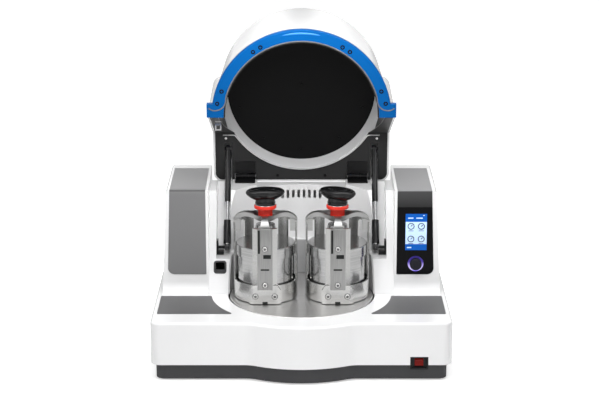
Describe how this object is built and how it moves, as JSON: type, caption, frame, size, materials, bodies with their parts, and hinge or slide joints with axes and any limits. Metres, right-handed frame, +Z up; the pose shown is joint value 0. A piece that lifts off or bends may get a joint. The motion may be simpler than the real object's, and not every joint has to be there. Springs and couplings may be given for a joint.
{
  "type": "planetary ball mill",
  "caption": "Bench-top planetary ball mill: a moulded cabinet with a sunk sun wheel carrying clamped jars under a round hinged lid on gas springs.",
  "frame": {"origin": "on the bench, under the middle of the overall box, with the lid open", "axes": "+Z up, -Y towards the operator, +X to the operator's right; at rest the lid is open, Z is the longest extent and Y the shortest"},
  "size_m": [0.73, 0.5471, 0.8368],
  "materials": {
    "gloss_white": "glossy moulded casing",
    "dark_grey": "dark grey moulded tray",
    "mid_grey": "satin grey sheet",
    "frame_steel": "powder-coated steel",
    "black_glass": "gloss black panel",
    "black_plastic": "fine-grained black",
    "light_grey": "light grey lining",
    "signal_blue": "glossy blue",
    "rubber_black": "rubber",
    "stainless": "brushed and polished stainless steel",
    "signal_red": "red",
    "black_steel": "black coated steel",
    "cast_grey": "machined casting",
    "motor_grey": "painted motor housing",
    "board_green": "circuit board",
    "display": "lit display",
    "lit_ring": "lit ring"
  },
  "bodies": {
    "root": {"feet": "rubber_black", "plinth": "dark_grey", "base_frame": "frame_steel", "deck_plate": "frame_steel", "housing_shell": "gloss_white", "inlay_sheets": "mid_grey", "control_panel": "black_glass", "chamber_liner": "light_grey", "screen": "display", "dial_ring": "lit_ring", "switch_frame": "black_plastic", "inverter": "cast_grey", "control_board": "board_green", "power_inlet": "black_plastic", "bearing_housing": "cast_grey", "main_bearings": "stainless", "drive_belt": "rubber_black", "motor": "motor_grey", "hinge_leaves_lower": "black_steel", "hinge_pins": "stainless", "spring_studs_lower": "black_steel", "lock_bezel": "black_plastic", "lock_unit": "black_steel"},
    "lid": {"lid_shell": "gloss_white", "lid_liner": "light_grey", "lid_end_disc": "black_plastic", "lid_ring": "signal_blue", "lid_gasket": "rubber_black", "lid_edge_strips": "dark_grey", "lid_rear_plate": "black_steel", "hinge_leaves_upper": "black_steel", "spring_brackets_upper": "black_steel", "lid_striker": "stainless"},
    "gas_rod_left": {"gas_rod_left": "stainless"},
    "gas_rod_right": {"gas_rod_right": "stainless"},
    "gas_tube_left": {"gas_tube_left": "black_steel"},
    "gas_tube_right": {"gas_tube_right": "black_steel"},
    "sun_wheel": {"sun_wheel": "stainless", "main_shaft": "stainless", "drive_pulley": "cast_grey", "planet_bearings": "stainless", "planet_belts": "rubber_black"},
    "motor_rotor": {"motor_rotor": "stainless"},
    "control_dial": {"control_dial": "black_plastic"},
    "rocker": {"rocker": "signal_red"},
    "lock_bolt": {"lock_bolt": "stainless"},
    "station_left": {"planet_drive_left": "stainless", "jar_holder_left": "stainless", "jar_left": "stainless", "jar_lid_left": "stainless", "clamp_spider_left": "stainless", "clamp_collar_left": "signal_red"},
    "clamp_knob_left": {"clamp_knob_left": "black_plastic"},
    "station_right": {"planet_drive_right": "stainless", "jar_holder_right": "stainless", "jar_right": "stainless", "jar_lid_right": "stainless", "clamp_spider_right": "stainless", "clamp_collar_right": "signal_red"},
    "clamp_knob_right": {"clamp_knob_right": "black_plastic"}
  },
  "joints": [
    {"name": "lid_hinge", "type": "hinge", "parent": "root", "child": "lid", "pos_m": [0, 0.20538, 0.4], "axis": [1, 0, 0], "range_deg": [0, 87]},
    {"name": "gas_spring_lean_left", "type": "hinge", "parent": "root", "child": "gas_rod_left", "pos_m": [-0.19, 0.05938, 0.25], "axis": [1, 0, 0], "range_deg": [0, 9.75]},
    {"name": "gas_spring_stroke_left", "type": "slide", "parent": "gas_rod_left", "child": "gas_tube_left", "axis": [0, 0.5629, 0.8265], "range_m": [-0.09465, 0]},
    {"name": "gas_spring_lean_right", "type": "hinge", "parent": "root", "child": "gas_rod_right", "pos_m": [0.19, 0.05938, 0.25], "axis": [1, 0, 0], "range_deg": [0, 9.75]},
    {"name": "gas_spring_stroke_right", "type": "slide", "parent": "gas_rod_right", "child": "gas_tube_right", "axis": [0, 0.5629, 0.8265], "range_m": [-0.09465, 0]},
    {"name": "sun_wheel_spin", "type": "hinge", "parent": "root", "child": "sun_wheel", "pos_m": [0, -0.02062, 0.15], "axis": [0, 0, 1], "continuous": true},
    {"name": "jar_spin_left", "type": "hinge", "parent": "sun_wheel", "child": "station_left", "pos_m": [-0.09, -0.02062, 0.15], "axis": [0, 0, 1], "continuous": true},
    {"name": "clamp_knob_turn_left", "type": "hinge", "parent": "station_left", "child": "clamp_knob_left", "pos_m": [-0.09, -0.02062, 0.4], "axis": [0, 0, 1], "range_deg": [0, 360]},
    {"name": "jar_spin_right", "type": "hinge", "parent": "sun_wheel", "child": "station_right", "pos_m": [0.09, -0.02062, 0.15], "axis": [0, 0, 1], "continuous": true},
    {"name": "clamp_knob_turn_right", "type": "hinge", "parent": "station_right", "child": "clamp_knob_right", "pos_m": [0.09, -0.02062, 0.4], "axis": [0, 0, 1], "range_deg": [0, 360]},
    {"name": "motor_spin", "type": "hinge", "parent": "root", "child": "motor_rotor", "pos_m": [-0.29, 0.11438, 0.07], "axis": [0, 0, 1], "continuous": true},
    {"name": "control_dial_turn", "type": "hinge", "parent": "root", "child": "control_dial", "pos_m": [0.288, -0.00762, 0.2275], "axis": [0, -1, 0], "continuous": true},
    {"name": "rocker_tilt", "type": "hinge", "parent": "root", "child": "rocker", "pos_m": [0.285, -0.22662, 0.0475], "axis": [1, 0, 0], "range_deg": [0, 18]},
    {"name": "lock_bolt_slide", "type": "slide", "parent": "root", "child": "lock_bolt", "axis": [0, 0.4088, 0.9126], "range_m": [0, 0.012]}
  ],
  "couplings": [
    {"joint": "gas_spring_lean_left", "follows": "lid_hinge", "ratio": 0.11187},
    {"joint": "gas_spring_stroke_left", "follows": "lid_hinge", "m_per_rad": -0.062204},
    {"joint": "gas_spring_lean_right", "follows": "lid_hinge", "ratio": 0.11187},
    {"joint": "gas_spring_stroke_right", "follows": "lid_hinge", "m_per_rad": -0.062204},
    {"joint": "jar_spin_left", "follows": "sun_wheel_spin", "ratio": -2},
    {"joint": "jar_spin_right", "follows": "sun_wheel_spin", "ratio": -2},
    {"joint": "motor_spin", "follows": "sun_wheel_spin", "ratio": 3.1667}
  ]
}
